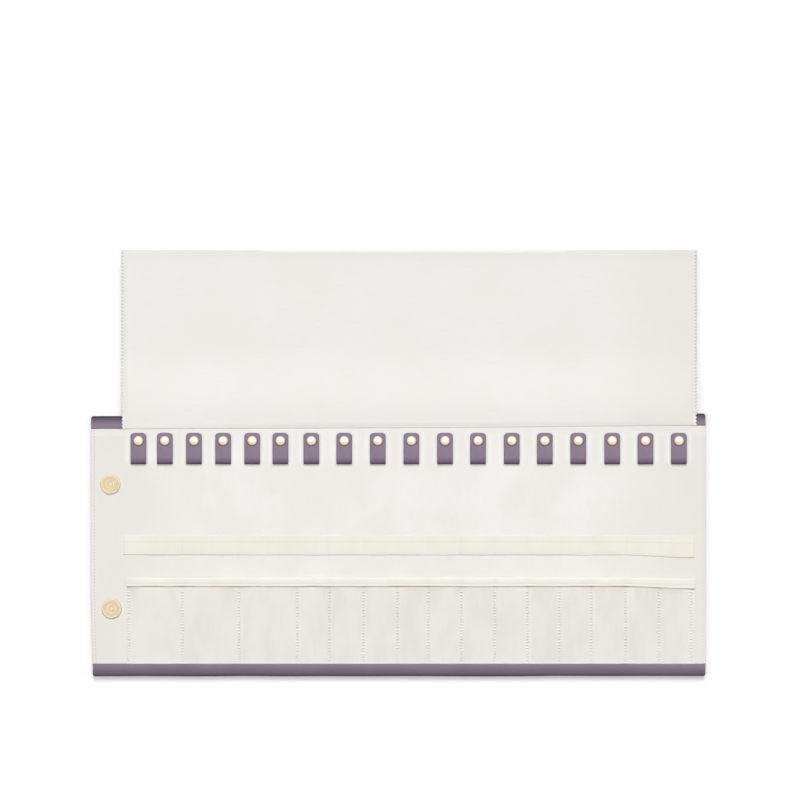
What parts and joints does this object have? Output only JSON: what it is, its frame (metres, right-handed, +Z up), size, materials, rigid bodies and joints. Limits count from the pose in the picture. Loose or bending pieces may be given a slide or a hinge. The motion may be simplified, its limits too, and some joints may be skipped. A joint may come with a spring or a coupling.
{
  "type": "jewelry roll",
  "caption": "Roll-up necklace organiser: leatherette shell, padded lining, snap straps, wide elastic, stitched pockets, cloth flap and magnet discs.",
  "frame": {"origin": "middle of the open roll's footprint, flap laid out, on the surface that it lies on", "axes": "+X along the roll away from the magnet discs, +Y towards the cloth flap, +Z up"},
  "size_m": [0.59, 0.4074, 0.0063],
  "materials": {
    "shell_leatherette": "satin",
    "lining_suede": "matte",
    "ribbed_elastic": "matte",
    "pocket_cloth": "matte",
    "flap_cloth": "matte",
    "strap_leather": "satin",
    "snap_metal": "polished",
    "disc_metal": "satin",
    "magnet_steel": "satin"
  },
  "bodies": {
    "panel_1": {"outer_shell_1": "shell_leatherette", "padded_lining_1": "lining_suede", "wide_elastic_1": "ribbed_elastic", "pocket_1": "pocket_cloth", "magnet_disc_upper": "disc_metal", "magnet_disc_lower": "disc_metal"},
    "panel_2": {"outer_shell_2": "shell_leatherette", "padded_lining_2": "lining_suede", "wide_elastic_2": "ribbed_elastic", "pocket_2": "pocket_cloth"},
    "panel_3": {"outer_shell_3": "shell_leatherette", "padded_lining_3": "lining_suede", "wide_elastic_3": "ribbed_elastic", "pocket_3": "pocket_cloth", "hidden_magnet_upper": "magnet_steel", "hidden_magnet_lower": "magnet_steel"},
    "panel_4": {"outer_shell_4": "shell_leatherette", "padded_lining_4": "lining_suede", "wide_elastic_4": "ribbed_elastic", "pocket_4": "pocket_cloth"},
    "flap_section_1": {"flap_1": "flap_cloth"},
    "flap_section_2": {"flap_2": "flap_cloth"},
    "flap_section_3": {"flap_3": "flap_cloth"},
    "flap_section_4": {"flap_4": "flap_cloth"},
    "snap_strap_01": {"strap_01": "strap_leather", "snap_cap_01": "snap_metal"},
    "snap_strap_02": {"strap_02": "strap_leather", "snap_cap_02": "snap_metal"},
    "snap_strap_03": {"strap_03": "strap_leather", "snap_cap_03": "snap_metal"},
    "snap_strap_04": {"strap_04": "strap_leather", "snap_cap_04": "snap_metal"},
    "snap_strap_05": {"strap_05": "strap_leather", "snap_cap_05": "snap_metal"},
    "snap_strap_06": {"strap_06": "strap_leather", "snap_cap_06": "snap_metal"},
    "snap_strap_07": {"strap_07": "strap_leather", "snap_cap_07": "snap_metal"},
    "snap_strap_08": {"strap_08": "strap_leather", "snap_cap_08": "snap_metal"},
    "snap_strap_09": {"strap_09": "strap_leather", "snap_cap_09": "snap_metal"},
    "snap_strap_10": {"strap_10": "strap_leather", "snap_cap_10": "snap_metal"},
    "snap_strap_11": {"strap_11": "strap_leather", "snap_cap_11": "snap_metal"},
    "snap_strap_12": {"strap_12": "strap_leather", "snap_cap_12": "snap_metal"},
    "snap_strap_13": {"strap_13": "strap_leather", "snap_cap_13": "snap_metal"},
    "snap_strap_14": {"strap_14": "strap_leather", "snap_cap_14": "snap_metal"},
    "snap_strap_15": {"strap_15": "strap_leather", "snap_cap_15": "snap_metal"},
    "snap_strap_16": {"strap_16": "strap_leather", "snap_cap_16": "snap_metal"},
    "snap_strap_17": {"strap_17": "strap_leather", "snap_cap_17": "snap_metal"},
    "snap_strap_18": {"strap_18": "strap_leather", "snap_cap_18": "snap_metal"}
  },
  "joints": [
    {"name": "fold_12", "type": "hinge", "parent": "panel_2", "child": "panel_1", "pos_m": [-0.12981, 0, 0.0145], "axis": [0, 1, 0], "range_deg": [0, 179.98]},
    {"name": "fold_23", "type": "hinge", "parent": "panel_2", "child": "panel_3", "pos_m": [0.02418, 0, 0.01087], "axis": [0, -1, 0], "range_deg": [0, 179.98]},
    {"name": "fold_34", "type": "hinge", "parent": "panel_3", "child": "panel_4", "pos_m": [0.1599, 0, 0.00725], "axis": [0, -1, 0], "range_deg": [0, 179.98]},
    {"name": "flap_hinge_1", "type": "hinge", "parent": "panel_1", "child": "flap_section_1", "pos_m": [-0.19778, 0.03375, 0.00528], "axis": [1, 0, 0], "range_deg": [0, 179.98]},
    {"name": "flap_hinge_2", "type": "hinge", "parent": "panel_2", "child": "flap_section_2", "pos_m": [-0.05282, 0.03375, 0.00528], "axis": [1, 0, 0], "range_deg": [0, 179.98]},
    {"name": "flap_hinge_3", "type": "hinge", "parent": "panel_3", "child": "flap_section_3", "pos_m": [0.09204, 0.03375, 0.00528], "axis": [1, 0, 0], "range_deg": [0, 179.98]},
    {"name": "flap_hinge_4", "type": "hinge", "parent": "panel_4", "child": "flap_section_4", "pos_m": [0.22253, 0.03375, 0.00528], "axis": [1, 0, 0], "range_deg": [0, 179.98]},
    {"name": "strap_hinge_01", "type": "hinge", "parent": "panel_1", "child": "snap_strap_01", "pos_m": [-0.24957, 0.0006, 0.0037], "axis": [-1, 0, 0], "range_deg": [-150, 0]},
    {"name": "strap_hinge_02", "type": "hinge", "parent": "panel_1", "child": "snap_strap_02", "pos_m": [-0.2242, 0.0006, 0.0037], "axis": [-1, 0, 0], "range_deg": [-150, 0]},
    {"name": "strap_hinge_03", "type": "hinge", "parent": "panel_1", "child": "snap_strap_03", "pos_m": [-0.19588, 0.0006, 0.0037], "axis": [-1, 0, 0], "range_deg": [-150, 0]},
    {"name": "strap_hinge_04", "type": "hinge", "parent": "panel_1", "child": "snap_strap_04", "pos_m": [-0.16815, 0.0006, 0.0037], "axis": [-1, 0, 0], "range_deg": [-150, 0]},
    {"name": "strap_hinge_05", "type": "hinge", "parent": "panel_1", "child": "snap_strap_05", "pos_m": [-0.14042, 0.0006, 0.0037], "axis": [-1, 0, 0], "range_deg": [-150, 0]},
    {"name": "strap_hinge_06", "type": "hinge", "parent": "panel_2", "child": "snap_strap_06", "pos_m": [-0.11328, 0.0006, 0.0037], "axis": [-1, 0, 0], "range_deg": [-150, 0]},
    {"name": "strap_hinge_07", "type": "hinge", "parent": "panel_2", "child": "snap_strap_07", "pos_m": [-0.08378, 0.0006, 0.0037], "axis": [-1, 0, 0], "range_deg": [-150, 0]},
    {"name": "strap_hinge_08", "type": "hinge", "parent": "panel_2", "child": "snap_strap_08", "pos_m": [-0.05251, 0.0006, 0.0037], "axis": [-1, 0, 0], "range_deg": [-150, 0]},
    {"name": "strap_hinge_09", "type": "hinge", "parent": "panel_2", "child": "snap_strap_09", "pos_m": [-0.02006, 0.0006, 0.0037], "axis": [-1, 0, 0], "range_deg": [-150, 0]},
    {"name": "strap_hinge_10", "type": "hinge", "parent": "panel_2", "child": "snap_strap_10", "pos_m": [0.01239, 0.0006, 0.0037], "axis": [-1, 0, 0], "range_deg": [-150, 0]},
    {"name": "strap_hinge_11", "type": "hinge", "parent": "panel_3", "child": "snap_strap_11", "pos_m": [0.04425, 0.0006, 0.0037], "axis": [-1, 0, 0], "range_deg": [-150, 0]},
    {"name": "strap_hinge_12", "type": "hinge", "parent": "panel_3", "child": "snap_strap_12", "pos_m": [0.07611, 0.0006, 0.0037], "axis": [-1, 0, 0], "range_deg": [-150, 0]},
    {"name": "strap_hinge_13", "type": "hinge", "parent": "panel_3", "child": "snap_strap_13", "pos_m": [0.10797, 0.0006, 0.0037], "axis": [-1, 0, 0], "range_deg": [-150, 0]},
    {"name": "strap_hinge_14", "type": "hinge", "parent": "panel_3", "child": "snap_strap_14", "pos_m": [0.13983, 0.0006, 0.0037], "axis": [-1, 0, 0], "range_deg": [-150, 0]},
    {"name": "strap_hinge_15", "type": "hinge", "parent": "panel_4", "child": "snap_strap_15", "pos_m": [0.17169, 0.0006, 0.0037], "axis": [-1, 0, 0], "range_deg": [-150, 0]},
    {"name": "strap_hinge_16", "type": "hinge", "parent": "panel_4", "child": "snap_strap_16", "pos_m": [0.20414, 0.0006, 0.0037], "axis": [-1, 0, 0], "range_deg": [-150, 0]},
    {"name": "strap_hinge_17", "type": "hinge", "parent": "panel_4", "child": "snap_strap_17", "pos_m": [0.236, 0.0006, 0.0037], "axis": [-1, 0, 0], "range_deg": [-150, 0]},
    {"name": "strap_hinge_18", "type": "hinge", "parent": "panel_4", "child": "snap_strap_18", "pos_m": [0.26786, 0.0006, 0.0037], "axis": [-1, 0, 0], "range_deg": [-150, 0]}
  ],
  "couplings": [
    {"joint": "flap_hinge_1", "follows": "flap_hinge_2", "ratio": 1},
    {"joint": "flap_hinge_3", "follows": "flap_hinge_2", "ratio": 1},
    {"joint": "flap_hinge_4", "follows": "flap_hinge_2", "ratio": 1}
  ]
}
